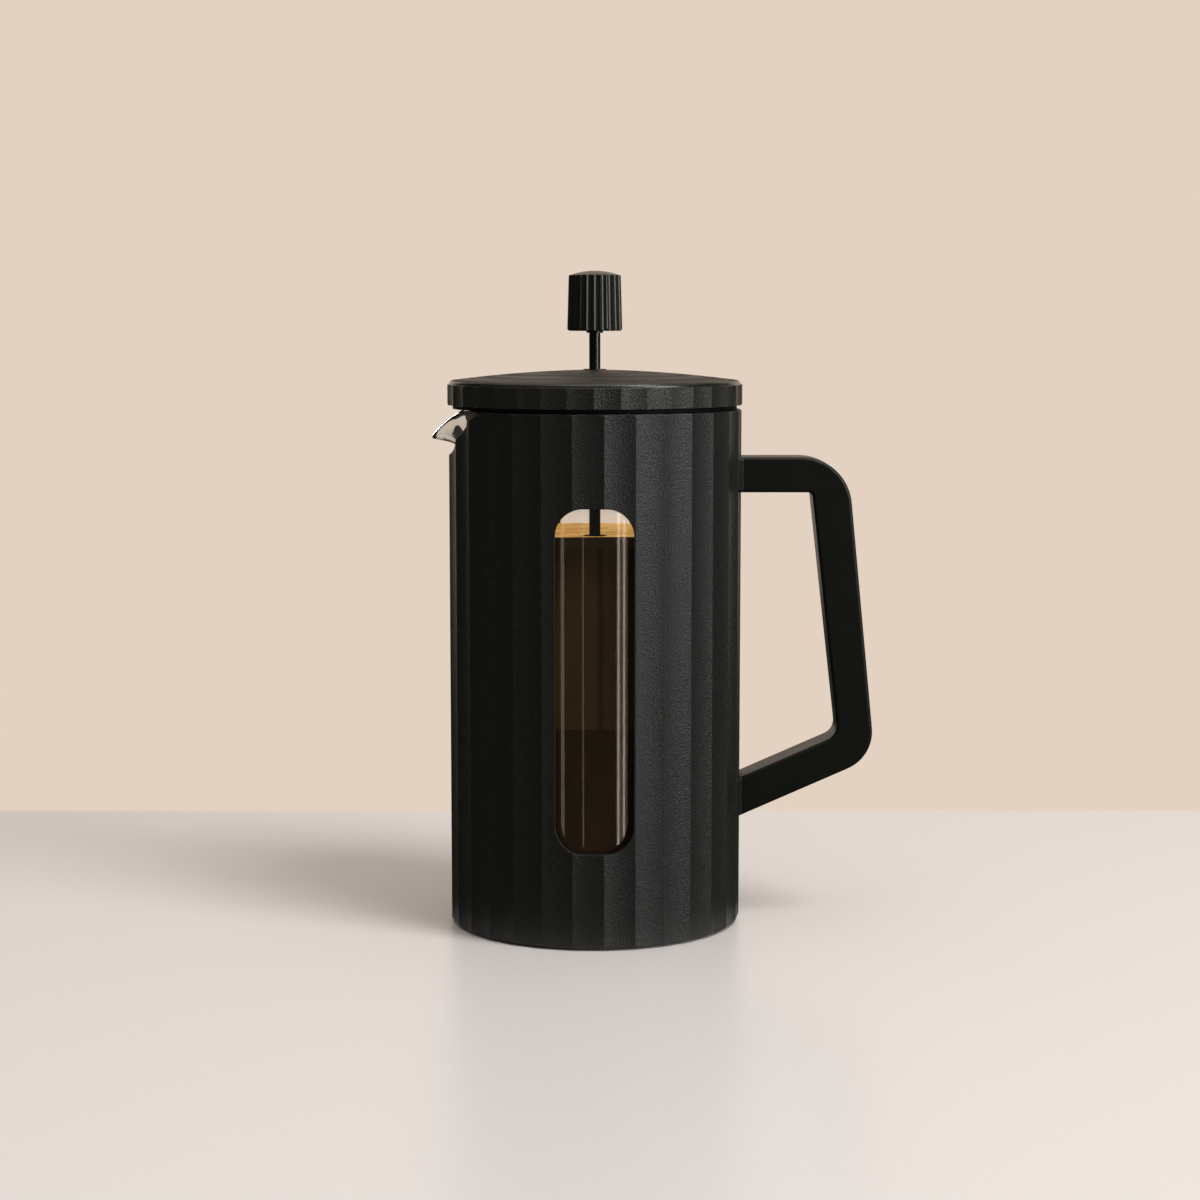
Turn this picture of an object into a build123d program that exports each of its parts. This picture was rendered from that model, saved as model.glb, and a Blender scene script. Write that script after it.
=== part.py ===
from build123d import *
import math
import os

# A one-litre french press. Millimetres, +Z up, origin on the beaker's axis at table level.
# The spout points along -X, the handle along +X, and the sleeve's two windows face -Y and +Y.

# Clearances
RUN_FIT = 0.05  # radial, rod in its bush
SEAT_FIT = 0.05  # between pieces that are fixed in each other
BODY_GAP = 0.3  # between pieces that move past or rest on each other

# Sleeve: fluted shell round the beaker
SLEEVE_RADIUS = 52.0  # over the ridges between the flutes
SLEEVE_BOTTOM = 0.6
SLEEVE_TOP = 183.6
SLEEVE_BORE = 48.6
SLEEVE_FLUTES = 30
SLEEVE_FLUTE_DEPTH = 0.8
SLEEVE_FIRST_RIDGE = -86.4  # degrees from +X, just right of the front window's middle
SLEEVE_FOOT_ROUND = 1.8
SLEEVE_LIP_ROUND = 0.8
RIDGE_ROUND = 0.35
FLOOR_BOTTOM = 7.5
FLOOR_TOP = 10.0

# Windows, front and back, and the scoop in the sleeve's top edge for the spout
WINDOW_WIDTH = 26.8
WINDOW_BOTTOM = 33.5
WINDOW_TOP = 151.8
WINDOW_CORNER = 9.5
SCOOP_POINT = 159.9  # height where the scoop's two slanting edges would meet
SCOOP_RUN = 1.40  # sideways run of each edge for its rise
SCOOP_ROUND = 28.8

# Base: cover, its screws and the foot pad
BASE_BORE = 47.4
BASE_COVER_TOP = 4.6
FOOT_PAD_RADIUS = 44.0
FOOT_PAD_TOP = 2.0
BASE_SCREWS = 3
BASE_SCREW_CIRCLE = 30.0  # radius
BASE_SCREW_RADIUS = 1.5
BASE_SCREW_HEAD = 2.8  # radius
BASE_SCREW_HEAD_TOP = 3.4
BASE_SCREW_TOP = 9.2
BOSS_RADIUS = 4.5

# Silicone pieces that hold the beaker in the sleeve
CUSHION_FLOOR = 1.5
CUSHION_WALL_TOP = 18.0
GRIP_RING_BOTTOM = 153.8
GRIP_RING_HEIGHT = 2.8
GRIP_RING_GROOVE = 0.7

# Beaker
GLASS_RADIUS = 47.4
GLASS_WALL = 2.2
GLASS_FLOOR = 3.0
GLASS_RIM = 183.6
GLASS_CORNER = 6.0
SPOUT_ROOT_X = -42.0
SPOUT_TIP_X = -58.0
SPOUT_ROOT_HALF_WIDTH = 24.0
SPOUT_TIP_HALF_WIDTH = 6.0
SPOUT_ROOT_BOTTOM = 168.2
SPOUT_TIP_BOTTOM = 172.4
SPOUT_LIP_TIP = 174.7  # height of the slanting lip at the tip
SPOUT_SIDE_FALL = 9.0  # height over which the trough's side curves in to its bottom

# Handle: an open D of three bars, butted on two stubs of the sleeve
HANDLE_FACE_X = 52.5
HANDLE_DEPTH = 16.0
HANDLE_TOP = 166.9
HANDLE_TOP_CORNER_X = 89.2
HANDLE_LOW_CORNER_X = 100.0
HANDLE_LOW_CORNER_Z = 59.7
HANDLE_ROOT_X = 46.0  # inside the sleeve's bore, where the outline of the bars starts
HANDLE_ROOT_Z = 35.9  # underside of the lower bar there
UPPER_BAR = 12.5
GRIP_BAR_TOP = 13.8
GRIP_BAR_LOW = 12.3
LOWER_BAR = 12.7
TOP_CORNER_ROUND = 18.0
LOW_CORNER_ROUND = 14.5
INNER_TOP_ROUND = 1.5
INNER_LOW_ROUND = 5.5
HANDLE_EDGE_ROUND = 1.2
HANDLE_SCREW_SPREAD = 4.0  # either side of the handle's middle plane
HANDLE_SCREW_RADIUS = 1.7
HANDLE_SCREW_HEAD = 3.2  # radius
HANDLE_SCREW_LENGTH = 14.0
UPPER_SCREW_Z = 160.7
LOWER_SCREW_Z = 47.8

# Lid
LID_RADIUS = 52.3
LID_FLUTES = 36
LID_FLUTE_DEPTH = 0.6
LID_FIRST_RIDGE = -90.2  # degrees from +X
LID_BOTTOM = 185.2
LID_EDGE_TOP = 193.8
LID_APEX = 197.5
LID_SHOULDER = 1.4  # radius of the smooth round between the dome and the fluted rim
LID_RIDGE_FADE = 0.12  # height over which the ridges end under that round
LID_DOME_MIDDLE = 0.69  # share of the dome's rise that is reached at half its radius
LID_WALL = 2.2
LID_INSIDE = 50.4  # radius
STRAINER_FLANGE_TOP = 186.7
STRAINER_FLANGE_RADIUS = 50.3
SKIRT_OUTER = 44.4
SKIRT_INNER = 41.6
SKIRT_BOTTOM = 168.0
SLOTS_PER_SIDE = 9
SLOT_PITCH = 6.0  # degrees
SLOT_WIDTH = 2.4
SLOT_BOTTOM = 169.6
SLOT_HEIGHT = 7.6
GUIDE_RADIUS = 6.5
GUIDE_BOTTOM = 174.0
GUIDE_TOP = 194.6
SEAL_GROOVE_BOTTOM = 179.4
SEAL_GROOVE_TOP = 182.6
SEAL_GROOVE_RADIUS = 43.1
BUSH_RADIUS = 4.0
BUSH_TOP = 197.7

# Plunger
ROD_RADIUS = 2.0
ROD_BOTTOM = 31.6
ROD_TOP = 222.0
KNOB_BOTTOM = 211.1
KNOB_EDGE_TOP = 230.5
KNOB_APEX = 232.2
KNOB_BOTTOM_RADIUS = 9.75
KNOB_TOP_RADIUS = 9.2
KNOB_FLUTES = 24
KNOB_FLUTE_DEPTH = 0.55
KNOB_FIRST_RIDGE = -93.0  # degrees from +X
KNOB_RIDGE_LAND = 0.25  # width left between two flutes
KNOB_EDGE_ROUND = 0.9
INSERT_RADIUS = 3.6
INSERT_TOP = 223.4
NECK_BOTTOM = 210.4
NECK_RADIUS = 3.0

# Filter stack on the rod's lower end, from the bottom up
HUB_BOTTOM = 30.5
HUB_RADIUS = 6.0
CROSS_PLATE_BOTTOM = 35.0
CROSS_PLATE_RADIUS = 40.5
CROSS_PLATE_THICKNESS = 1.0
CROSS_HOLES = 6
CROSS_HOLE_RADIUS = 9.0
CROSS_HOLE_CIRCLE = 24.0
RIM_HOLES = 18
RIM_HOLE_RADIUS = 1.8
RIM_HOLE_CIRCLE = 37.2
MESH_THICKNESS = 0.4
MESH_RADIUS = 44.9
MESH_RIM_TOP = 41.0
SPRING_CIRCLE = 42.4  # radius of the ring that the spring's coil runs along
SPRING_COIL_RADIUS = 2.0
TOP_PLATE_RADIUS = 40.3
TOP_PLATE_THICKNESS = 0.8
TOP_PLATE_RIM_TOP = 39.6
TOP_HOLE_RINGS = ((16.0, 10, 2.6), (25.0, 16, 2.6), (33.5, 22, 2.6))  # circle, count, hole radius
COLLAR_RADIUS = 5.0
COLLAR_HEIGHT = 5.0

BASE = (Align.CENTER, Align.CENTER, Align.MIN)
GLASS_BOTTOM = FLOOR_TOP + CUSHION_FLOOR + BODY_GAP
GLASS_BORE = GLASS_RADIUS - GLASS_WALL
MESH_BOTTOM = CROSS_PLATE_BOTTOM + CROSS_PLATE_THICKNESS
MESH_TOP = MESH_BOTTOM + MESH_THICKNESS
TOP_PLATE_TOP = MESH_TOP + TOP_PLATE_THICKNESS
FLANGE_BOTTOM = SLEEVE_TOP + BODY_GAP
HANDLE_SCREW_FACE_X = SLEEVE_BORE


def polar(radius, degrees):
    angle = math.radians(degrees)
    return radius * math.cos(angle), radius * math.sin(angle)


def pillar(radius, bottom, top):
    """An upright cylinder on the beaker's axis, between two heights."""
    return Pos(0, 0, bottom) * Cylinder(radius, top - bottom, align=BASE)


def tube(outer, inner, bottom, top):
    return pillar(outer, bottom, top) - pillar(inner, bottom, top)


def lying_cylinder(radius, x, y, z, length):
    """A cylinder along +X that starts at a point."""
    return Pos(x, y, z) * Rot(0, 90, 0) * Cylinder(radius, length, align=BASE)


def ring_of(shape, radius, count):
    """Copies of a shape evenly round the axis."""
    return [place * shape for place in PolarLocations(radius, count)]


def fluted_face(radius, count, depth, first_ridge, ridge_round):
    """A disc edged with concave flutes that meet in slightly rounded ridges."""
    pitch = 360 / count
    flutes = []
    for i in range(count):
        start = first_ridge + i * pitch
        ends = polar(radius, start), polar(radius, start + pitch)
        middle = polar(radius - depth, start + pitch / 2)
        flutes.append(ThreePointArc(ends[0], middle, ends[1]))
    face = make_face(flutes)
    return fillet(face.vertices(), ridge_round)


def rounded_outline(corners):
    """A flat outline from corners given as x, y and the radius that each is rounded to."""
    face = make_face(Polyline([(x, y) for x, y, _ in corners], close=True))
    for x, y, radius in corners:
        if radius:
            face = fillet(face.vertices().sort_by_distance((x, y, 0))[0], radius)
    return face


def crossing(p, along_p, q, along_q):
    """Where two lines meet, each given by a point and a direction."""
    det = along_p[0] * along_q[1] - along_p[1] * along_q[0]
    t = ((q[0] - p[0]) * along_q[1] - (q[1] - p[1]) * along_q[0]) / det
    return p[0] + t * along_p[0], p[1] + t * along_p[1]


def beside(p, q, at_p, at_q):
    """A line on the right of the one from p to q, at a distance from each, as a point and a direction."""
    length = math.hypot(q[0] - p[0], q[1] - p[1])
    right = (q[1] - p[1]) / length, (p[0] - q[0]) / length
    start = p[0] + at_p * right[0], p[1] + at_p * right[1]
    end = q[0] + at_q * right[0], q[1] + at_q * right[1]
    return start, (end[0] - start[0], end[1] - start[1])


def handle_corners():
    """The handle's side outline, in X and Z."""
    top_start = HANDLE_ROOT_X, HANDLE_TOP
    top_corner = HANDLE_TOP_CORNER_X, HANDLE_TOP
    low_corner = HANDLE_LOW_CORNER_X, HANDLE_LOW_CORNER_Z
    low_start = HANDLE_ROOT_X, HANDLE_ROOT_Z
    upper = beside(top_start, top_corner, UPPER_BAR, UPPER_BAR)
    grip = beside(top_corner, low_corner, GRIP_BAR_TOP, GRIP_BAR_LOW)
    lower = beside(low_corner, low_start, LOWER_BAR, LOWER_BAR)
    root = low_start, (0, 1)
    inner_low = crossing(*grip, *lower)
    inner_top = crossing(*upper, *grip)
    return [
        (*top_start, 0),
        (*top_corner, TOP_CORNER_ROUND),
        (*low_corner, LOW_CORNER_ROUND),
        (*low_start, 0),
        (*crossing(*lower, *root), 0),
        (*inner_low, INNER_LOW_ROUND),
        (*inner_top, INNER_TOP_ROUND),
        (*crossing(*upper, *root), 0),
    ]


def handle_bars():
    """The handle's three bars, with both ends run on into the sleeve."""
    body = extrude(Plane.XZ * rounded_outline(handle_corners()), HANDLE_DEPTH / 2, both=True)
    sides = [e for e in body.edges() if abs(abs(e.center().Y) - HANDLE_DEPTH / 2) < SEAT_FIT]
    long_edges = [e for e in sides if e.center().X > HANDLE_ROOT_X + SEAT_FIT]
    return fillet(long_edges, HANDLE_EDGE_ROUND)


def past_handle_face():
    """All the room on the handle's side of the plane where it butts on the sleeve."""
    size = 2 * SLEEVE_TOP
    return Pos(HANDLE_FACE_X, 0, 0) * Box(size, size, size, align=(Align.MIN, Align.CENTER, Align.CENTER))


def handle_screw_places():
    """Where each handle screw crosses the sleeve's axis plane, as Y and Z."""
    heights = LOWER_SCREW_Z, UPPER_SCREW_Z
    sides = -HANDLE_SCREW_SPREAD, HANDLE_SCREW_SPREAD
    return [(y, z) for z in heights for y in sides]


def sleeve():
    outline = fluted_face(
        SLEEVE_RADIUS, SLEEVE_FLUTES, SLEEVE_FLUTE_DEPTH, SLEEVE_FIRST_RIDGE, RIDGE_ROUND
    )
    body = Pos(0, 0, SLEEVE_BOTTOM) * extrude(outline, SLEEVE_TOP - SLEEVE_BOTTOM)
    blank = pillar(SLEEVE_RADIUS, SLEEVE_BOTTOM, SLEEVE_TOP)
    blank = fillet(blank.edges().group_by(Axis.Z)[0], SLEEVE_FOOT_ROUND)
    blank = fillet(blank.edges().group_by(Axis.Z)[-1], SLEEVE_LIP_ROUND)
    body = body & blank
    body += handle_bars() - past_handle_face()
    body -= pillar(SLEEVE_BORE, FLOOR_TOP, SLEEVE_TOP)
    body -= pillar(BASE_BORE, SLEEVE_BOTTOM, FLOOR_BOTTOM)

    height = WINDOW_TOP - WINDOW_BOTTOM
    pane = Pos(0, WINDOW_BOTTOM + height / 2) * RectangleRounded(WINDOW_WIDTH, height, WINDOW_CORNER)
    body -= extrude(Plane.XZ * pane, SLEEVE_RADIUS + 1, both=True)
    sky = SLEEVE_TOP + SCOOP_ROUND
    spread = SCOOP_RUN * (sky - SCOOP_POINT)
    scoop = rounded_outline([(0, SCOOP_POINT, SCOOP_ROUND), (spread, sky, 0), (-spread, sky, 0)])
    body -= extrude(Plane.YZ * scoop, -SLEEVE_RADIUS - 1)

    groove = GRIP_RING_BOTTOM, GRIP_RING_BOTTOM + GRIP_RING_HEIGHT
    body -= pillar(SLEEVE_BORE + GRIP_RING_GROOVE, *groove)
    boss = pillar(BOSS_RADIUS, BASE_COVER_TOP, FLOOR_BOTTOM)
    pilot = pillar(BASE_SCREW_RADIUS + SEAT_FIT, BASE_COVER_TOP, BASE_SCREW_TOP + SEAT_FIT)
    body += ring_of(boss, BASE_SCREW_CIRCLE, BASE_SCREWS)
    body -= ring_of(pilot, BASE_SCREW_CIRCLE, BASE_SCREWS)
    return body - [handle_screw(y, z, SEAT_FIT) for y, z in handle_screw_places()]


def base_cover():
    plate = pillar(BASE_BORE - SEAT_FIT, SLEEVE_BOTTOM, BASE_COVER_TOP)
    plate -= pillar(FOOT_PAD_RADIUS + SEAT_FIT, SLEEVE_BOTTOM, FOOT_PAD_TOP)
    hole = base_screw(SEAT_FIT)
    return plate - ring_of(hole, BASE_SCREW_CIRCLE, BASE_SCREWS)


def base_screw(spare):
    """One base screw on the axis, or with some spare room the hole that it goes in."""
    shank = pillar(BASE_SCREW_RADIUS + spare, FOOT_PAD_TOP, BASE_SCREW_TOP)
    return shank + pillar(BASE_SCREW_HEAD + spare, FOOT_PAD_TOP, BASE_SCREW_HEAD_TOP)


def base_screws():
    return Compound(ring_of(base_screw(0), BASE_SCREW_CIRCLE, BASE_SCREWS))


def foot_pad():
    return pillar(FOOT_PAD_RADIUS, 0, FOOT_PAD_TOP)


def beaker_cushion():
    cup = pillar(SLEEVE_BORE - SEAT_FIT, FLOOR_TOP, CUSHION_WALL_TOP)
    return cup - pillar(GLASS_RADIUS + BODY_GAP, FLOOR_TOP + CUSHION_FLOOR, CUSHION_WALL_TOP)


def grip_ring():
    outer = SLEEVE_BORE + GRIP_RING_GROOVE - SEAT_FIT
    bottom = GRIP_RING_BOTTOM + SEAT_FIT
    return tube(outer, GLASS_RADIUS + BODY_GAP, bottom, bottom + GRIP_RING_HEIGHT - 2 * SEAT_FIT)


def handle():
    body = handle_bars() & past_handle_face()
    return body - [handle_screw(y, z, SEAT_FIT) for y, z in handle_screw_places()]


def handle_screw(y, z, spare):
    """A countersunk screw along +X, or with some spare room the hole that it goes in."""
    face = HANDLE_SCREW_FACE_X
    cone_length = HANDLE_SCREW_HEAD - HANDLE_SCREW_RADIUS
    shank = lying_cylinder(HANDLE_SCREW_RADIUS + spare, face, y, z, HANDLE_SCREW_LENGTH + spare)
    cone = Cone(HANDLE_SCREW_HEAD + spare, HANDLE_SCREW_RADIUS + spare, cone_length, align=BASE)
    screw = shank + Pos(face, y, z) * Rot(0, 90, 0) * cone
    if spare:
        way_in = face - SLEEVE_BORE + GLASS_BORE
        screw += lying_cylinder(HANDLE_SCREW_HEAD + spare, way_in, y, z, face - way_in)
    return screw


def handle_screws():
    return Compound([handle_screw(y, z, 0) for y, z in handle_screw_places()])


def trough(root_x, tip_x, root_half, tip_half, root_bottom, tip_bottom):
    """The spout's tapering trough, as a solid open to nothing at its top."""
    sections = []
    for x, half, bottom in ((root_x, root_half, root_bottom), (tip_x, tip_half, tip_bottom)):
        shoulder = bottom + SPOUT_SIDE_FALL
        top = GLASS_RIM + SPOUT_SIDE_FALL
        side = Polyline((half, shoulder), (half, top), (-half, top), (-half, shoulder))
        bowl = ThreePointArc((-half, shoulder), (0, bottom), (half, shoulder))
        sections.append(Plane((x, 0, 0), x_dir=(0, 1, 0), z_dir=(1, 0, 0)) * make_face([side, bowl]))
    return loft(sections, ruled=True)


def glass_beaker():
    outside = pillar(GLASS_RADIUS, GLASS_BOTTOM, GLASS_RIM)
    outside = fillet(outside.edges().group_by(Axis.Z)[0], GLASS_CORNER)
    inside = pillar(GLASS_BORE, GLASS_BOTTOM + GLASS_FLOOR, GLASS_RIM)
    inside = fillet(inside.edges().group_by(Axis.Z)[0], GLASS_CORNER - GLASS_WALL)
    outside += trough(
        SPOUT_ROOT_X,
        SPOUT_TIP_X,
        SPOUT_ROOT_HALF_WIDTH,
        SPOUT_TIP_HALF_WIDTH,
        SPOUT_ROOT_BOTTOM,
        SPOUT_TIP_BOTTOM,
    )
    inside += trough(
        SPOUT_ROOT_X + GLASS_WALL,
        SPOUT_TIP_X - GLASS_WALL,
        SPOUT_ROOT_HALF_WIDTH,
        SPOUT_TIP_HALF_WIDTH - GLASS_WALL,
        SPOUT_ROOT_BOTTOM + GLASS_WALL,
        SPOUT_TIP_BOTTOM + GLASS_WALL,
    )
    sky = GLASS_RIM + GLASS_RADIUS
    fall = (SPOUT_LIP_TIP - GLASS_RIM) / (SPOUT_TIP_X + GLASS_RADIUS)
    far_x = 2 * SPOUT_TIP_X
    far_z = GLASS_RIM + fall * (far_x + GLASS_RADIUS)
    corners = (-GLASS_RADIUS, GLASS_RIM), (far_x, far_z), (far_x, sky), (-GLASS_RADIUS, sky)
    over_lip = extrude(Plane.XZ * make_face(Polyline(corners, close=True)), GLASS_RADIUS, both=True)
    above_rim = pillar(2 * GLASS_RADIUS, GLASS_RIM, sky)
    return outside - inside - above_rim - over_lip


def dome(radius, edge_z, apex_z):
    """The lid's shallow dome as a curve in X and Z, from its edge to the axis."""
    middle = edge_z + LID_DOME_MIDDLE * (apex_z - edge_z)
    return ThreePointArc((radius, edge_z), (radius / 2, middle), (0, apex_z))


def turned(face):
    """A solid of revolution from an outline in X and Z."""
    return revolve(Plane.XZ * face, Axis.Z)


def lid_cover():
    outline = fluted_face(LID_RADIUS, LID_FLUTES, LID_FLUTE_DEPTH, LID_FIRST_RIDGE, RIDGE_ROUND)
    rim = Pos(0, 0, LID_BOTTOM) * extrude(outline, LID_APEX - LID_BOTTOM)
    smooth = LID_RADIUS - LID_FLUTE_DEPTH - SEAT_FIT
    edge = smooth - LID_SHOULDER
    shoulder_z = LID_EDGE_TOP - LID_SHOULDER
    shoulder = RadiusArc((smooth, shoulder_z), (edge, LID_EDGE_TOP), -LID_SHOULDER)
    sides = Polyline(
        (0, LID_APEX),
        (0, LID_BOTTOM),
        (LID_RADIUS, LID_BOTTOM),
        (LID_RADIUS, shoulder_z - LID_RIDGE_FADE),
        (smooth, shoulder_z),
    )
    body = rim & turned(make_face([dome(edge, LID_EDGE_TOP, LID_APEX), sides, shoulder]))
    ceiling_edge = LID_EDGE_TOP - LID_WALL
    ceiling = LID_APEX - LID_WALL
    walls = Polyline((0, ceiling), (0, LID_BOTTOM), (LID_INSIDE, LID_BOTTOM), (LID_INSIDE, ceiling_edge))
    body -= turned(make_face([dome(LID_INSIDE, ceiling_edge, ceiling), walls]))
    return body - pillar(BUSH_RADIUS + SEAT_FIT, LID_BOTTOM, LID_APEX)


def lid_strainer():
    body = pillar(STRAINER_FLANGE_RADIUS, FLANGE_BOTTOM, STRAINER_FLANGE_TOP)
    body += tube(SKIRT_OUTER, SKIRT_INNER, SKIRT_BOTTOM, FLANGE_BOTTOM)
    body -= tube(SKIRT_OUTER + SEAT_FIT, SEAL_GROOVE_RADIUS, SEAL_GROOVE_BOTTOM, SEAL_GROOVE_TOP)
    body += pillar(GUIDE_RADIUS, GUIDE_BOTTOM, GUIDE_TOP)
    body -= pillar(BUSH_RADIUS + SEAT_FIT, GUIDE_BOTTOM, GUIDE_TOP)
    slot = Pos(0, 0, SLOT_BOTTOM) * Box(SKIRT_OUTER, SLOT_WIDTH, SLOT_HEIGHT, align=BASE)
    first = -SLOT_PITCH * (SLOTS_PER_SIDE - 1) / 2
    for side in (0, 180):
        for i in range(SLOTS_PER_SIDE):
            place = Rot(0, 0, side + first + i * SLOT_PITCH) * Pos(SKIRT_OUTER, 0, 0)
            body -= place * slot & tube(SKIRT_OUTER + 1, SKIRT_INNER - 1, SKIRT_BOTTOM, FLANGE_BOTTOM)
    return body


def lid_seal():
    bottom = SEAL_GROOVE_BOTTOM + BODY_GAP
    top = SEAL_GROOVE_TOP - BODY_GAP
    return tube(GLASS_BORE - BODY_GAP, SEAL_GROOVE_RADIUS + BODY_GAP, bottom, top)


def rod_bush():
    return tube(BUSH_RADIUS, ROD_RADIUS + RUN_FIT, GUIDE_BOTTOM, BUSH_TOP)


def plunger_rod():
    return pillar(ROD_RADIUS, ROD_BOTTOM, ROD_TOP)


def knob_flute():
    """The tool that cuts one of the knob's flutes, leaning with the knob's taper."""
    half_pitch = math.radians(180 / KNOB_FLUTES)
    middle_radius = (KNOB_BOTTOM_RADIUS + KNOB_TOP_RADIUS) / 2
    half_width = middle_radius * math.sin(half_pitch) - KNOB_RIDGE_LAND / 2
    below_chord = KNOB_FLUTE_DEPTH - middle_radius + math.sqrt(middle_radius**2 - half_width**2)
    tool_radius = (half_width**2 + below_chord**2) / (2 * below_chord)
    rise = KNOB_EDGE_TOP - KNOB_BOTTOM
    lean = math.degrees(math.atan2(KNOB_BOTTOM_RADIUS - KNOB_TOP_RADIUS, rise))
    middle = Pos(middle_radius - KNOB_FLUTE_DEPTH + tool_radius, 0, KNOB_BOTTOM + rise / 2)
    return middle * Rot(0, -lean, 0) * Cylinder(tool_radius, 2 * rise)


def knob():
    crown_rise = KNOB_APEX - KNOB_EDGE_TOP
    crown_radius = (KNOB_TOP_RADIUS**2 + crown_rise**2) / (2 * crown_rise)
    side = rounded_outline(
        [
            (0, KNOB_BOTTOM, 0),
            (KNOB_BOTTOM_RADIUS, KNOB_BOTTOM, KNOB_EDGE_ROUND),
            (KNOB_TOP_RADIUS, KNOB_EDGE_TOP, 0),
            (KNOB_TOP_RADIUS, KNOB_APEX, 0),
            (0, KNOB_APEX, 0),
        ]
    )
    body = turned(side) & Pos(0, 0, KNOB_APEX - crown_radius) * Sphere(crown_radius)
    first = KNOB_FIRST_RIDGE + 180 / KNOB_FLUTES
    body -= [Rot(0, 0, first + i * 360 / KNOB_FLUTES) * knob_flute() for i in range(KNOB_FLUTES)]
    return body - pillar(INSERT_RADIUS + SEAT_FIT, KNOB_BOTTOM, INSERT_TOP + SEAT_FIT)


def knob_insert():
    body = pillar(INSERT_RADIUS, KNOB_BOTTOM, INSERT_TOP) + pillar(NECK_RADIUS, NECK_BOTTOM, KNOB_BOTTOM)
    return body - pillar(ROD_RADIUS + SEAT_FIT, NECK_BOTTOM, ROD_TOP + SEAT_FIT)


def filter_cross_plate():
    body = pillar(CROSS_PLATE_RADIUS, CROSS_PLATE_BOTTOM, MESH_BOTTOM)
    body += pillar(HUB_RADIUS, HUB_BOTTOM, CROSS_PLATE_BOTTOM)
    for circle, count, radius in (
        (CROSS_HOLE_CIRCLE, CROSS_HOLES, CROSS_HOLE_RADIUS),
        (RIM_HOLE_CIRCLE, RIM_HOLES, RIM_HOLE_RADIUS),
    ):
        body -= ring_of(pillar(radius, CROSS_PLATE_BOTTOM, MESH_BOTTOM), circle, count)
    return body - pillar(ROD_RADIUS + SEAT_FIT, ROD_BOTTOM - SEAT_FIT, MESH_BOTTOM)


def filter_mesh():
    body = pillar(MESH_RADIUS, MESH_BOTTOM, MESH_RIM_TOP)
    body -= pillar(MESH_RADIUS - MESH_THICKNESS, MESH_TOP, MESH_RIM_TOP)
    return body - pillar(ROD_RADIUS + SEAT_FIT, MESH_BOTTOM, MESH_TOP)


def filter_spring():
    return Pos(0, 0, MESH_TOP + SPRING_COIL_RADIUS + SEAT_FIT) * Torus(SPRING_CIRCLE, SPRING_COIL_RADIUS)


def filter_top_plate():
    body = pillar(TOP_PLATE_RADIUS, MESH_TOP, TOP_PLATE_RIM_TOP)
    body -= pillar(TOP_PLATE_RADIUS - TOP_PLATE_THICKNESS, TOP_PLATE_TOP, TOP_PLATE_RIM_TOP)
    for circle, count, radius in TOP_HOLE_RINGS:
        body -= ring_of(pillar(radius, MESH_TOP, TOP_PLATE_TOP), circle, count)
    return body - pillar(ROD_RADIUS + SEAT_FIT, MESH_TOP, TOP_PLATE_TOP)


def rod_collar():
    return tube(COLLAR_RADIUS, ROD_RADIUS + SEAT_FIT, TOP_PLATE_TOP, TOP_PLATE_TOP + COLLAR_HEIGHT)


NODES = (
    sleeve,
    base_cover,
    base_screws,
    foot_pad,
    beaker_cushion,
    grip_ring,
    handle,
    handle_screws,
    glass_beaker,
    lid_cover,
    lid_strainer,
    lid_seal,
    rod_bush,
    plunger_rod,
    knob,
    knob_insert,
    rod_collar,
    filter_top_plate,
    filter_spring,
    filter_mesh,
    filter_cross_plate,
)

os.makedirs("parts", exist_ok=True)
for make in NODES:
    export_step(make(), f"parts/{make.__name__}.step")
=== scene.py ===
from math import atan2, cos, degrees, hypot, pi, radians, sin

import bmesh
import bpy
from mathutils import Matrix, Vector


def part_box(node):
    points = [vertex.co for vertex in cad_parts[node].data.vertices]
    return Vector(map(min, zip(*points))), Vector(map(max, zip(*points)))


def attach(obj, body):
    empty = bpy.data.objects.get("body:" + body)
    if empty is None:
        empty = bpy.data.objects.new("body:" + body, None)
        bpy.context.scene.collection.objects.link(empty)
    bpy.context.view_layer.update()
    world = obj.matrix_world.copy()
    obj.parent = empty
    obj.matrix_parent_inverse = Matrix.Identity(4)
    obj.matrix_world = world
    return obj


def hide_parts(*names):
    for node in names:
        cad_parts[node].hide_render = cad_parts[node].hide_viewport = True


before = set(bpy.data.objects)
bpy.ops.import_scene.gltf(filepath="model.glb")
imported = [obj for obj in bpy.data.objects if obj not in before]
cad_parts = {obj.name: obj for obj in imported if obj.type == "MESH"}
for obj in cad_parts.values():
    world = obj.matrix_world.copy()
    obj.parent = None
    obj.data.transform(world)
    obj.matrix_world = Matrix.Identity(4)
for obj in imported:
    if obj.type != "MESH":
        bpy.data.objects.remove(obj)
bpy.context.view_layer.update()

MM = 0.001

# Beaker, pulled from one glass tube
BEAKER_LOW, BEAKER_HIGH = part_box("glass_beaker")
GLASS_RADIUS = BEAKER_HIGH.x
GLASS_WALL = 2.2 * MM
GLASS_LIP = 1.7 * MM  # thickness at the tip of the spout
GLASS_FLOOR = 3.0 * MM
GLASS_CORNER = 6.0 * MM
SPOUT_REACH = -BEAKER_LOW.x - GLASS_RADIUS
SPOUT_DROP = 10.4 * MM  # how far the lip falls from the rim to the tip
SPOUT_START = 17.6 * MM  # below the rim, where the wall begins to lean out
SPOUT_HALF_ANGLE = radians(31)
LIP_HALF_ANGLE = radians(23)
SPOUT_LEAN = radians(78)  # slope of the trough at the tip, from upright
GLASS_COLUMNS = 480
WALL_STEPS = 6  # rows of points up the straight wall
FLARE_STEPS = 14  # and up the part that leans out at the spout
CORNER_STEPS = 8  # and round the rim and each corner of the floor

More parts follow.
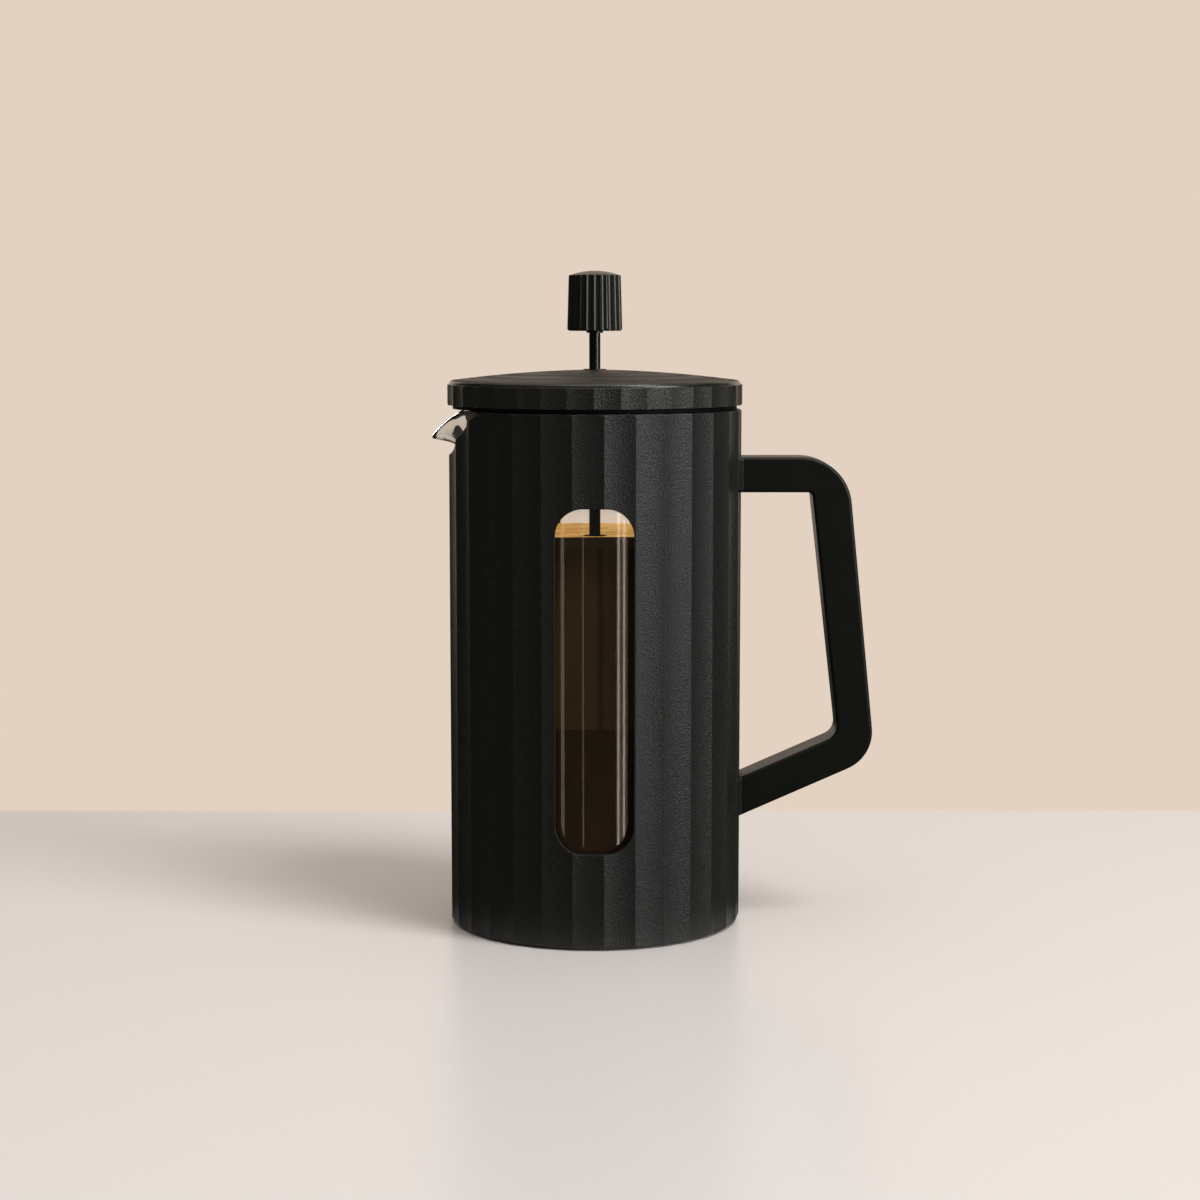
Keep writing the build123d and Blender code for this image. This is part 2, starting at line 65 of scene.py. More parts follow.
# Brewed coffee and the foam on it
COFFEE_LEVEL = 138.6 * MM
FOAM_DEPTH = 0.6 * MM
FOAM_CLIMB = 0.7 * MM  # up the glass
WET_DEPTH = 0.1 * MM  # how far the coffee is let into the glass, so that no air shows between them
ROD_SHADE = 2.1 * MM  # across the press, where a painted dark streak shows the rod dimly through the coffee
DARK_LOWER_TOP = 76.0 * MM  # the coffee is darker below this height
FOAM_SHADE = 22.0 * MM  # depth of the painted shade under the foam
FOAM_PAINTED_GLOW = 1.0  # painted glow: the foam lights itself, standing in for light scattered up through it
COFFEE_PAINTED_GLOW = 0.45  # painted glow of the coffee, standing in for light scattered through it
ROD_DARK_PATCH = 4.4 * MM  # radius of the dark patch round the rod in the foam
FOAM_EDGE = -7.0 * MM  # the foam has drifted to the far side of this line, which runs through the press
COFFEE_COLUMNS = 160
COFFEE_ROWS = 8
FOAM_EDGE_STEPS = 6
SURFACE_CREASE = radians(40)  # edges of the coffee and foam sharper than this stay sharp

# Grain of the moulded plastic, from its pits to its tops on a scale from 0 to 1
GRAIN_PIT = 0.36
GRAIN_TOP = 0.66

# Lid
RIM_TOP = 192.4 * MM  # height where its fluted rim ends and rounds over
DOME_EDGE = 193.6 * MM  # height where the round meets the dome

# Plunger rod
ROD_WET = 190.0 * MM  # coffee dulls the rod below this height

# Filter
MESH_REPEAT = 0.55 * MM  # after which the weave of the wire cloth repeats
SPRING_LOW, SPRING_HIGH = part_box("filter_spring")
SPRING_WIRE = 0.38 * MM  # radius
SPRING_TURNS = 210
SPRING_STEPS = 12  # per turn
SPRING_SIDES = 6

# Camera, at the photograph's height and angle
CAMERA_PLACE = Vector((1.85, -892.0, 217.0)) * MM
CAMERA_PITCH = radians(83.5)
CAMERA_LENS = 75.3
SENSOR = 36.0

# Studio
FLOOR_RADIUS = 1.2
FLOOR_SIDES = 96
WALL_FOOT = (188.0 * MM, 200.0 * MM)  # how far behind the press the floor turns into the backdrop
BACKDROP = (227, 210, 193)
TABLE = (225, 219, 216)
TABLE_MOTTLE = 2  # how far the table's colour strays to either side
FILL_LIGHT = (0.30, 0.29, 0.28, 1.0)
CURTAIN_RADIUS = 4.0
CURTAIN_HEIGHT = 4.0
CURTAIN_SWEEP = radians(290)  # how far it goes round; the backdrop's side stays open
CURTAIN_COLUMNS = 64
CLOTH_RADIUS = 0.060  # where the dark cloth on the floor begins
CLOTH_LIFT = 0.001
BACK_CLOTH_REACH = 0.9  # how far the cloth goes on the backdrop's side

# Soft lamps: azimuth from the camera's side, elevation, distance, width, height, watts and tint
LAMP_AIM = Vector((0.0, 0.0, 110.0 * MM))
SOFT_LAMPS = {
    "key_right": (56, 18, 2.4, 1.0, 1.54, 45.0, (1.0, 1.0, 1.0)),
    "key_high": (48, 56, 2.4, 0.86, 0.86, 23.5, (1.0, 0.99, 0.97)),
    "top_soft": (10, 80, 1.4, 1.2, 1.2, 5.0, (1.0, 0.98, 0.96)),
}
SPOUT_GLEAM = (-143, 19, 0.9, 0.5, 0.5, 8.0, (1.0, 0.97, 0.93))

# Lamps whose mirror images are the streaks on the window's glass
STRIP_DISTANCE = 140.0 * MM
STRIP_BOTTOM = 2.0 * MM
STRIP_TOP = 150.0 * MM
STRIP_TINT = (1.0, 0.79, 0.63)
STRIPS = (  # left and right end across the window in millimetres, and glow
    (-12.4, -10.3, 1.0),
    (-4.1, -3.7, 1.0),
    (7.4, 12.0, 0.5),
    (7.8, 8.5, 3.5),
    (9.7, 10.4, 3.3),
)


def colour(red, green, blue):
    """An 8-bit display colour as the linear values that a shader takes."""
    shares = [value / 255 for value in (red, green, blue)]
    linear = [s / 12.92 if s <= 0.04045 else ((s + 0.055) / 1.055) ** 2.4 for s in shares]
    return (*linear, 1.0)


class Wire:
    """A node's output in a material. Arithmetic on it adds Math nodes to that material."""

    def __init__(self, finish, socket):
        self.finish = finish
        self.socket = socket

    def math(self, operation, *terms):
        return self.finish.node("ShaderNodeMath", {"operation": operation}, dict(enumerate(terms)))

    def __add__(self, other):
        return self.math("ADD", self, other)

    def __radd__(self, other):
        return self.math("ADD", other, self)

    def __sub__(self, other):
        return self.math("SUBTRACT", self, other)

    def __rsub__(self, other):
        return self.math("SUBTRACT", other, self)

    def __mul__(self, other):
        return self.math("MULTIPLY", self, other)

    def __rmul__(self, other):
        return self.math("MULTIPLY", other, self)

    def __truediv__(self, other):
        return self.math("DIVIDE", self, other)

    def __rtruediv__(self, other):
        return self.math("DIVIDE", other, self)

    def __pow__(self, other):
        return self.math("POWER", self, other)

    def __rpow__(self, other):
        return self.math("POWER", other, self)

    def clamped(self):
        return self.finish.node("ShaderNodeClamp", {}, {"Value": self})

    def wave(self):
        return self.math("SINE", self)

    def size(self):
        return self.math("ABSOLUTE", self)


class Finish:
    """A material, or the world, in the making. All its nodes come from node()."""

    def __init__(self, made):
        made.use_nodes = True
        self.made = made
        self.tree = made.node_tree
        self.tree.nodes.clear()

    def node(self, kind, settings=None, sockets=None, out=None):
        """Adds a node. Gives the output that out names, a list for a tuple of names, or the first in use."""
        made = self.tree.nodes.new(kind)
        for key, value in (settings or {}).items():
            if key == "stops":
                self.set_stops(made.color_ramp, value)
            else:
                setattr(made, key, value)
        for key, value in (sockets or {}).items():
            self.feed(self.find(made.inputs, key), value)
        if isinstance(out, tuple):
            return [Wire(self, self.find(made.outputs, key)) for key in out]
        if out is not None:
            return Wire(self, self.find(made.outputs, out))
        in_use = [socket for socket in made.outputs if socket.enabled]
        return Wire(self, in_use[0]) if in_use else None

    @staticmethod
    def find(sockets, key):
        """A socket by its number, its identifier or its name."""
        if isinstance(key, int):
            return sockets[key]
        named = [socket for socket in sockets if socket.identifier == key]
        return named[0] if named else sockets[key]

    @staticmethod
    def set_stops(ramp, stops):
        while len(ramp.elements) < len(stops):
            ramp.elements.new(1.0)
        for element, (place, shade) in zip(ramp.elements, stops):
            element.position = place
            element.color = shade

    def feed(self, socket, value):
        if isinstance(value, Wire):
            self.tree.links.new(value.socket, socket)
        else:
            socket.default_value = value

    def place(self):
        """Coordinates fixed to the piece, in metres."""
        return self.node("ShaderNodeTexCoord", out="Object")

    def axes(self):
        """The three parts of place()."""
        return self.node("ShaderNodeSeparateXYZ", {}, {0: self.place()}, out=("X", "Y", "Z"))

    def around(self):
        """Distance from the upright axis, angle about it in radians, and height."""
        x, y, height = self.axes()
        return (x * x + y * y) ** 0.5, y.math("ARCTAN2", y, x), height

    def vector(self, x, y, z):
        return self.node("ShaderNodeCombineXYZ", {}, {"X": x, "Y": y, "Z": z})

    def noise(self, vector, per_unit=1.0, detail=2.0, roughness=0.5):
        sockets = {"Vector": vector, "Scale": per_unit, "Detail": detail, "Roughness": roughness}
        return self.node("ShaderNodeTexNoise", {}, sockets, out="Fac")

    def cells(self, vector, per_unit):
        return self.node("ShaderNodeTexVoronoi", {}, {"Vector": vector, "Scale": per_unit}, out="Distance")

    def ramp(self, value, *stops):
        """A colour from stops, each a value and an 8-bit colour."""
        shades = [(place, colour(*shade)) for place, shade in stops]
        return self.node("ShaderNodeValToRGB", {"stops": shades}, {"Fac": value}, out="Color")

    def spread(self, value, low, high, to_low=0.0, to_high=1.0):
        """Goes smoothly from to_low to to_high while the value goes from low to high."""
        sockets = {"Value": value, "From Min": low, "From Max": high, "To Min": to_low, "To Max": to_high}
        return self.node("ShaderNodeMapRange", {"interpolation_type": "SMOOTHSTEP"}, sockets)

    def blended(self, share, first, second):
        sockets = {"Factor_Float": share, "A_Color": first, "B_Color": second}
        return self.node("ShaderNodeMix", {"data_type": "RGBA"}, sockets, out="Result_Color")

    def bump(self, height, depth, strength=1.0, rounding=0.0):
        """A normal for a relief of some depth, on edges that look rounded by a small radius."""
        sockets = {"Height": height, "Distance": depth, "Strength": strength}
        if rounding:
            sockets["Normal"] = self.node("ShaderNodeBevel", {"samples": 4}, {"Radius": rounding})
        return self.node("ShaderNodeBump", {}, sockets)

    def shader(self, **sockets):
        named = {key.replace("_", " "): value for key, value in sockets.items()}
        return self.node("ShaderNodeBsdfPrincipled", {}, named)

    def ended_with(self, shader):
        self.node("ShaderNodeOutputMaterial", {}, {"Surface": shader})
        return self.made

    def surface(self, **sockets):
        return self.ended_with(self.shader(**sockets))


def new_finish(name):
    return Finish(bpy.data.materials.new(name))


def spark_grain(finish, coarse, fine):
    """The pebbled grain of a spark-eroded mould, as a height from 0 to 1, from two scales per metre."""
    spot = finish.place()
    return 0.6 * finish.noise(spot, coarse, roughness=0.6) + 0.4 * finish.noise(spot, fine, detail=1.0)


def grain_tint(finish, grain, pits, tops):
    return finish.ramp(grain, (GRAIN_PIT, pits), (GRAIN_TOP, tops))


def grain_gloss(finish, grain):
    """Roughness of a coarse grain, whose tops are smoother than its pits."""
    return finish.spread(grain, GRAIN_PIT, 0.64, 0.44, 0.27)


def sleeve_finish():
    """Matt black moulded plastic with a pebbled grain."""
    finish = new_finish("sleeve_matt_black")
    grain = spark_grain(finish, coarse=1600.0, fine=3600.0)
    drift = finish.noise(finish.place(), 60.0, detail=3.0)
    return finish.surface(
        Base_Color=grain_tint(finish, grain, pits=(6, 7, 6), tops=(31, 32, 30)),
        Roughness=grain_gloss(finish, grain) + 0.06 * drift,
        Specular_IOR_Level=0.39,
        Normal=finish.bump(grain, depth=0.30 * MM, rounding=0.5 * MM),
    )


def handle_finish():
    """Satin black moulded plastic, smoother than the sleeve."""
    finish = new_finish("handle_satin_black")
    grain = spark_grain(finish, coarse=2200.0, fine=4200.0)
    worn = finish.noise(finish.place(), 90.0, detail=4.0)
    return finish.surface(
        Base_Color=grain_tint(finish, grain, pits=(11, 13, 9), tops=(18, 20, 15)),
        Roughness=0.30 + 0.12 * worn + 0.06 * grain,
        Specular_IOR_Level=0.20,
        Normal=finish.bump(grain, depth=0.05 * MM, strength=0.40, rounding=0.4 * MM),
    )


def lid_finish():
    """Black moulded plastic with fine turned rings in the grain of the dome, and a warm brown in the dome
    that is a painted reflection of the backdrop.
    """
    finish = new_finish("lid_matt_black")
    x, y, height = finish.axes()
    distance = (x * x + y * y) ** 0.5
    ring_place = finish.vector(distance * 900.0, 0.8 * x / distance, 0.8 * y / distance)
    rings = finish.noise(ring_place, roughness=0.6)
    grain = spark_grain(finish, coarse=1600.0, fine=3600.0)
    dome = finish.spread(height, DOME_EDGE - 0.1 * MM, DOME_EDGE + 0.2 * MM)
    round_over = finish.spread(height, RIM_TOP - 0.2 * MM, RIM_TOP + 0.2 * MM) * (1.0 - dome)
    pebbles = grain_gloss(finish, grain)
    streaks = finish.spread(rings, 0.38, 0.62, 0.82, 0.44)
    flutes_tint = grain_tint(finish, grain, pits=(9, 10, 7), tops=(37, 37, 33))
    # painted reflection: the dome's turned rings in a warm brown that stands for the warm backdrop mirrored
    # in it
    dome_rings_and_reflection = finish.ramp(rings, (0.40, (12, 10, 6)), (0.60, (29, 24, 16)))
    relief = grain * (1.0 - 0.8 * round_over) + 0.12 * dome * rings
    return finish.surface(
        Base_Color=finish.blended(dome, flutes_tint, dome_rings_and_reflection),
        Roughness=pebbles + dome * (streaks - pebbles) + round_over * (0.16 - pebbles),
        Specular_IOR_Level=0.40,
        Normal=finish.bump(relief, depth=0.34 * MM, rounding=0.3 * MM),
    )


def strainer_finish():
    """Plain matt black plastic of the lid's inner part."""
    finish = new_finish("strainer_matt_black")
    grain = spark_grain(finish, coarse=1200.0, fine=3000.0)
    return finish.surface(
        Base_Color=grain_tint(finish, grain, pits=(7, 7, 6), tops=(15, 15, 14)),
        Roughness=0.55 + 0.20 * grain,
        Specular_IOR_Level=0.08,
        Normal=finish.bump(grain, depth=0.05 * MM, strength=0.4),
    )


def knob_finish():
    """Smooth satin black plastic, rubbed unevenly by the palm."""
    finish = new_finish("knob_satin_black")
    grain = spark_grain(finish, coarse=2000.0, fine=4200.0)
    rubbed = finish.noise(finish.place(), 300.0, detail=3.0)
    return finish.surface(
        Base_Color=grain_tint(finish, grain, pits=(19, 20, 14), tops=(28, 29, 21)),
        Roughness=0.24 + 0.10 * rubbed,
        Specular_IOR_Level=0.36,
    )


def bush_finish():
    """Slippery black bearing plastic with faint turning marks."""
    finish = new_finish("bush_black")
    distance, angle, height = finish.around()
    marks = finish.noise(finish.vector(distance * 6000.0, angle * 2.0, height * 6000.0))
    return finish.surface(
        Base_Color=finish.ramp(marks, (0.35, (15, 15, 15)), (0.65, (25, 25, 24))),
        Roughness=0.28 + 0.16 * marks,
        Normal=finish.bump(marks, depth=0.03 * MM, strength=0.4),
    )


def rod_finish():
    """Steel under a thin black coating, drawn along its length."""
    finish = new_finish("rod_black_coating")
    x, y, z = finish.axes()
    drawn = finish.noise(finish.vector(x * 5000.0, y * 5000.0, z * 60.0))
    dry = finish.spread(z, ROD_WET - 4.0 * MM, ROD_WET + 4.0 * MM)
    return finish.surface(
        Base_Color=finish.ramp(drawn, (0.35, (8, 8, 7)), (0.70, (18, 18, 16))),
        Roughness=0.30 + 0.12 * drawn,
        Specular_IOR_Level=0.03,
        Coat_Weight=0.7 * dry,
        Coat_Roughness=0.2,
        Normal=finish.bump(drawn, depth=0.02 * MM, strength=0.35),
    )


def silicone_finish():
    """Soft black silicone with a dusty bloom."""
    finish = new_finish("silicone_black")
    bloom = finish.noise(finish.place(), 420.0, detail=4.0, roughness=0.6)
    grain = finish.noise(finish.place(), 2600.0, detail=1.0)
    return finish.surface(
        Base_Color=finish.ramp(bloom, (0.35, (20, 20, 20)), (0.70, (38, 37, 36))),
        Roughness=0.62 + 0.20 * bloom,
        Normal=finish.bump(grain, depth=0.04 * MM, strength=0.4),
    )


def steel_finish():
    """Stamped stainless steel, brushed round its middle."""
    finish = new_finish("stainless_brushed")
    distance, angle, height = finish.around()
    brush_place = finish.vector(distance * 4200.0, angle * 9.0, height * 2600.0)
    brushed = finish.noise(brush_place, detail=3.0, roughness=0.6)
    smudge = finish.noise(finish.place(), 130.0, detail=4.0)
    return finish.surface(
        Base_Color=finish.ramp(brushed, (0.30, (176, 174, 170)), (0.72, (214, 212, 208))),
        Metallic=1.0,
        Roughness=0.20 + 0.16 * brushed + 0.10 * smudge,
        Normal=finish.bump(brushed, depth=0.02 * MM, strength=0.35),
    )


def spring_finish():
    """Bright drawn spring wire."""
    finish = new_finish("spring_wire_steel")
    streak = finish.noise(finish.place(), 900.0, detail=3.0)
    return finish.surface(
        Base_Color=finish.ramp(streak, (0.30, (160, 158, 154)), (0.72, (210, 208, 204))),
        Metallic=1.0,
        Roughness=0.18 + 0.16 * streak,
    )


def mesh_finish():
    """Plain-woven stainless wire cloth."""
    finish = new_finish("filter_wire_cloth")
    weave = 2 * pi / MESH_REPEAT
    x, y, _ = finish.axes()
    warp = (x * weave).wave()
    weft = (y * weave).wave()
    over = 0.5 + 0.25 * (warp + weft)
    holes = finish.spread(warp * weft, -0.35, 0.10, 1.0, 0.0)
    smudge = finish.noise(finish.place(), 160.0, detail=3.0)
    return finish.surface(
        Base_Color=finish.blended(holes, colour(188, 186, 181), colour(46, 45, 44)),
        Metallic=1.0,
        Roughness=0.26 + 0.16 * smudge,
        Normal=finish.bump(over, depth=0.16 * MM, strength=0.8),
    )


def glass_finish():
    """Clear borosilicate with the faintest haze."""
    finish = new_finish("beaker_glass")
    breath = finish.noise(finish.place(), 45.0, detail=4.0)
    return finish.surface(
        Base_Color=finish.ramp(breath, (0.3, (253.3, 254.4, 253.9)), (0.7, (255, 255, 255))),
        Roughness=finish.spread(breath, 0.55, 0.80, 0.0, 0.01),
        IOR=1.47,
        Transmission_Weight=1.0,
        Specular_IOR_Level=0.25,
        Coat_Weight=0.7 + 0.3 * breath,
        Coat_Roughness=0.07,
    )


def coffee_finish():
    """Black coffee: painted shade towards the handle, under the foam and in a streak where the rod shows
    through; darker near the bottom.
    """
    finish = new_finish("brewed_coffee")
    x, y, z = finish.axes()
    cloud_place = finish.vector(x * 40.0, y * 40.0, z * 9.0)
    # painted shade: the cloud's tone falls towards the handle's side, with x
    cloud_and_side_shade = finish.noise(cloud_place, detail=4.0, roughness=0.6) - 16.0 * x
    upper = finish.ramp(cloud_and_side_shade, (0.20, (23, 15, 6)), (0.80, (46, 32, 16)))
    lower = finish.ramp(cloud_and_side_shade, (0.20, (12, 7, 2)), (0.80, (31, 19, 8)))
    clear = finish.spread(z, DARK_LOWER_TOP - 0.3 * MM, DARK_LOWER_TOP + 0.3 * MM)
    sway = 1.2 * MM * (finish.noise(finish.vector(0.0, 0.0, z * 24.0), detail=1.0) - 0.5)
    # painted shade: a dark streak where the rod shows dimly through the coffee
    clear_of_rod = finish.spread((x - ROD_SHADE + sway).size(), 0.3 * MM, 1.4 * MM)
    shaded = finish.blended(clear_of_rod, colour(20, 14, 7), upper)
    # painted shade under the foam, deepest right beneath it
    foam_shadow_share = finish.spread(z, COFFEE_LEVEL - FOAM_SHADE, COFFEE_LEVEL, 0.0, 0.55)
    shade = finish.blended(foam_shadow_share, finish.blended(clear, lower, shaded), colour(8, 5, 2))
    return finish.surface(
        Base_Color=shade,
        # painted glow: the coffee lights itself by its own colour
        Emission_Color=shade,
        Emission_Strength=COFFEE_PAINTED_GLOW,
        Roughness=0.16 + 0.10 * cloud_and_side_shade,
        Specular_IOR_Level=0.0,
    )


def foam_finish():
    """Golden foam of fine bubbles on the far side, a dark film on the near side and a darker patch round the
    rod.
    """
    finish = new_finish("coffee_foam")
    distance, angle, height = finish.around()
    swirl_place = finish.vector(distance * 130.0, angle * 3.0, height * 40.0)
    swirl = finish.noise(swirl_place, detail=4.0, roughness=0.6)
    bubbles = finish.cells(finish.place(), 900.0)
    foam = finish.ramp(swirl, (0.28, (176, 122, 60)), (0.52, (208, 160, 90)), (0.76, (230, 194, 128)))
    speckled = finish.blended(0.25 * finish.spread(bubbles, 0.0, 0.5), foam, colour(150, 98, 44))
    beyond_dark_patch = finish.spread(distance, ROD_DARK_PATCH - 0.5 * MM, ROD_DARK_PATCH + 0.2 * MM)
    _, y, _ = finish.axes()
    drifted = y + 8.0 * MM * (finish.noise(finish.place(), 70.0, detail=3.0) - 0.5)
    foamy = finish.spread(drifted, FOAM_EDGE - 2.0 * MM, FOAM_EDGE + 2.0 * MM)
    film = finish.blended(foamy, colour(22, 15, 7), speckled)
    shade = finish.blended(beyond_dark_patch, colour(14, 9, 6), film)
    return finish.surface(
        Base_Color=shade,
        # painted glow: the foam lights itself by its own colour
        Emission_Color=shade,
        Emission_Strength=FOAM_PAINTED_GLOW,
        Roughness=0.50 + 0.20 * swirl,
        Specular_IOR_Level=0.0,
        Normal=finish.bump(bubbles, depth=0.15 * MM, strength=0.35),
    )


def make_piece(name, points, faces, finish):
    """A smooth mesh object from its points and faces."""
    mesh = bpy.data.meshes.new(name)
    mesh.from_pydata(points, [], faces)
    mesh.validate()
    piece = bpy.data.objects.new(name, mesh)
    bpy.context.scene.collection.objects.link(piece)
    shell = bmesh.new()
    shell.from_mesh(mesh)
    bmesh.ops.recalc_face_normals(shell, faces=shell.faces)
    shell.to_mesh(mesh)
    shell.free()
    mesh.shade_smooth()
    mesh.materials.append(finish)
    return piece


def turned_faces(columns, rows):
    """Quads round the axis between rows of points; the first and last points close on the axis."""
    faces = []
    last = columns * rows + 1
    for column in range(columns):
        beside = (column + 1) % columns
        faces.append((0, 1 + column, 1 + beside))
        for row in range(rows - 1):
            here = 1 + row * columns
            faces.append((here + column, here + columns + column, here + columns + beside, here + beside))
        top = 1 + (rows - 1) * columns
        faces.append((top + column, last, top + beside))
    return faces


def turned_form(columns, profile_at):
    """Points and faces of a form turned about Z. A profile is a list of radii and heights, axis to axis."""
    angles = [2 * pi * column / columns for column in range(columns)]
    profiles = [profile_at(angle) for angle in angles]
    rows = len(profiles[0]) - 2
    points = [(0.0, 0.0, profiles[0][0][1])]
    for row in range(1, rows + 1):
        for angle, profile in zip(angles, profiles):
            radius, height = profile[row]
            points.append((radius * cos(angle), radius * sin(angle), height))
    points.append((0.0, 0.0, profiles[0][-1][1]))
    return points, turned_faces(columns, rows)


def arc(middle, radius, start, end, steps):
    """Points on an arc in a profile, from one angle to another in degrees."""
    turns = [radians(start + (end - start) * step / steps) for step in range(steps + 1)]
    return [(middle[0] + radius * cos(turn), middle[1] + radius * sin(turn)) for turn in turns]


def line(start, end, steps):
    """Points along a straight run in a profile, without its ends."""
    shares = [step / steps for step in range(1, steps)]
    return [tuple(a + (b - a) * share for a, b in zip(start, end)) for share in shares]


def swell(angle, half_angle):
    """1 at the spout's middle, falling smoothly to 0 at half_angle on either side of it."""
    off = abs(angle % (2 * pi) - pi)
    return 0.5 + 0.5 * cos(pi * off / half_angle) if off < half_angle else 0.0


def bezier(a, b, c, d, steps):
    """Points and headings of a cubic curve; a heading is the angle from upright, leaning out."""
    places = []
    for step in range(steps + 1):
        t = step / steps
        weights = ((1 - t) ** 3, 3 * t * (1 - t) ** 2, 3 * t * t * (1 - t), t ** 3)
        slopes = (3 * (1 - t) ** 2, 6 * t * (1 - t), 3 * t * t)
        place = [sum(w * p[i] for w, p in zip(weights, (a, b, c, d))) for i in (0, 1)]
        slope = [sum(s * (q[i] - p[i]) for s, p, q in zip(slopes, (a, b, c), (b, c, d))) for i in (0, 1)]
        places.append((place, atan2(slope[0], slope[1])))
    return places


def beaker_profile(angle):
    """The glass wall at an angle, from the outside of its floor over the rim to the inside."""
    out = swell(angle, SPOUT_HALF_ANGLE)
    down = swell(angle, LIP_HALF_ANGLE)
    bottom = BEAKER_LOW.z
    lip = GLASS_WALL + (GLASS_LIP - GLASS_WALL) * down
    lean = SPOUT_LEAN * down
    start = (GLASS_RADIUS, BEAKER_HIGH.z - SPOUT_START)
    end = (
        GLASS_RADIUS + SPOUT_REACH * out - lip / 2 * sin(lean),
        BEAKER_HIGH.z - SPOUT_DROP * down - lip / 2 * cos(lean),
    )
    pull = 0.5 * hypot(end[0] - start[0], end[1] - start[1])
    above_start = (start[0], start[1] + pull)
    below_end = (end[0] - pull * sin(lean), end[1] - pull * cos(lean))
    flare = bezier(start, above_start, below_end, end, FLARE_STEPS)
    corner = (GLASS_RADIUS - GLASS_CORNER, bottom + GLASS_CORNER)
    outside = [(0.0, bottom), (0.5 * GLASS_RADIUS, bottom)]
    outside += arc(corner, GLASS_CORNER, -90, 0, CORNER_STEPS)
    outside += line(outside[-1], start, WALL_STEPS)
    outside += [tuple(place) for place, _ in flare]
    heading = flare[-1][1]
    rim_middle = (end[0] - lip / 2 * cos(heading), end[1] + lip / 2 * sin(heading))
    rim_start = degrees(-heading)
    rim = arc(rim_middle, lip / 2, rim_start, rim_start + 180, CORNER_STEPS)[1:-1]
    inside = []
    for step, (place, turn) in enumerate(flare):
        wall = GLASS_WALL + (lip - GLASS_WALL) * step / FLARE_STEPS
        inside.append((place[0] - wall * cos(turn), place[1] + wall * sin(turn)))
    inside.reverse()
    bore = GLASS_RADIUS - GLASS_WALL
    hollow = GLASS_CORNER - GLASS_WALL
    floor = bottom + GLASS_FLOOR
    inside += line(inside[-1], (bore, floor + hollow), WALL_STEPS)
    inside += arc((bore - hollow, floor + hollow), hollow, 0, -90, CORNER_STEPS)
    inside += [(0.5 * bore, floor), (0.0, floor)]
    return outside + rim + inside


def glass_beaker():
    points, faces = turned_form(GLASS_COLUMNS, beaker_profile)
    beaker = make_piece("beaker_glass", points, faces, glass_finish())
    beaker.visible_shadow = False
    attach(beaker, "beaker")
    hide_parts("glass_beaker")
    return beaker


def fill_beaker(name, profile, finish):
    """Something round that the beaker holds."""
    points, faces = turned_form(COFFEE_COLUMNS, lambda angle: profile)
    piece = make_piece(name, points, faces, finish)
    piece.data.set_sharp_from_angle(angle=SURFACE_CREASE)
    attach(piece, "beaker")


def coffee_and_foam():
    """The coffee, up to the foam, and the foam, which climbs the glass a little."""
    side = GLASS_RADIUS - GLASS_WALL + WET_DEPTH
    hollow = GLASS_CORNER - GLASS_WALL
    floor = BEAKER_LOW.z + GLASS_FLOOR - WET_DEPTH
    under = COFFEE_LEVEL - FOAM_DEPTH
    base = under - WET_DEPTH

    coffee = [(0.0, floor), (0.5 * side, floor)]
    coffee += arc((side - hollow, floor + hollow), hollow, -90, 0, CORNER_STEPS)
    coffee += line(coffee[-1], (side, under), COFFEE_ROWS)
    coffee += [(side, under), (0.5 * side, under), (0.0, under)]
    foam = [(0.0, base), (0.5 * side, base), (side, base)]
    foam += arc((side - FOAM_CLIMB, COFFEE_LEVEL + FOAM_CLIMB), FOAM_CLIMB, 0, -90, FOAM_EDGE_STEPS)
    foam += [(share * side, COFFEE_LEVEL) for share in (0.6, 0.2, 0.0)]

    fill_beaker("brewed_coffee", coffee, coffee_finish())
    fill_beaker("coffee_foam", foam, foam_finish())


def spring_coil():
    """The wire coil that presses the mesh against the glass, wound round a ring and joined end to end."""
    middle = (SPRING_LOW.z + SPRING_HIGH.z) / 2
    coil = (SPRING_HIGH.z - SPRING_LOW.z) / 2 - SPRING_WIRE
    ring = SPRING_HIGH.x - coil - SPRING_WIRE
    count = SPRING_TURNS * SPRING_STEPS

    def at(step, reach, height):
        turn = 2 * pi * step / count
        return Vector((reach * cos(turn), reach * sin(turn), height))

    def centre(step):
        turn = 2 * pi * step / SPRING_STEPS
        return at(step, ring + coil * cos(turn), middle + coil * sin(turn))

    points = []
    for step in range(count):
        here = centre(step)
        along = (centre(step + 1) - centre(step - 1)).normalized()
        outward = (here - at(step, ring, middle)).normalized()
        outward = (outward - along * outward.dot(along)).normalized()
        across = along.cross(outward)
        for side in range(SPRING_SIDES):
            turn = 2 * pi * side / SPRING_SIDES
            points.append(here + SPRING_WIRE * (outward * cos(turn) + across * sin(turn)))
    faces = []
    for step in range(count):
        here = step * SPRING_SIDES
        ahead = (step + 1) % count * SPRING_SIDES
        for side in range(SPRING_SIDES):
            beside = (side + 1) % SPRING_SIDES
            faces.append((here + side, ahead + side, ahead + beside, here + beside))
    spring = make_piece("filter_spring_coil", points, faces, spring_finish())
    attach(spring, "plunger")
    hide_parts("filter_spring")


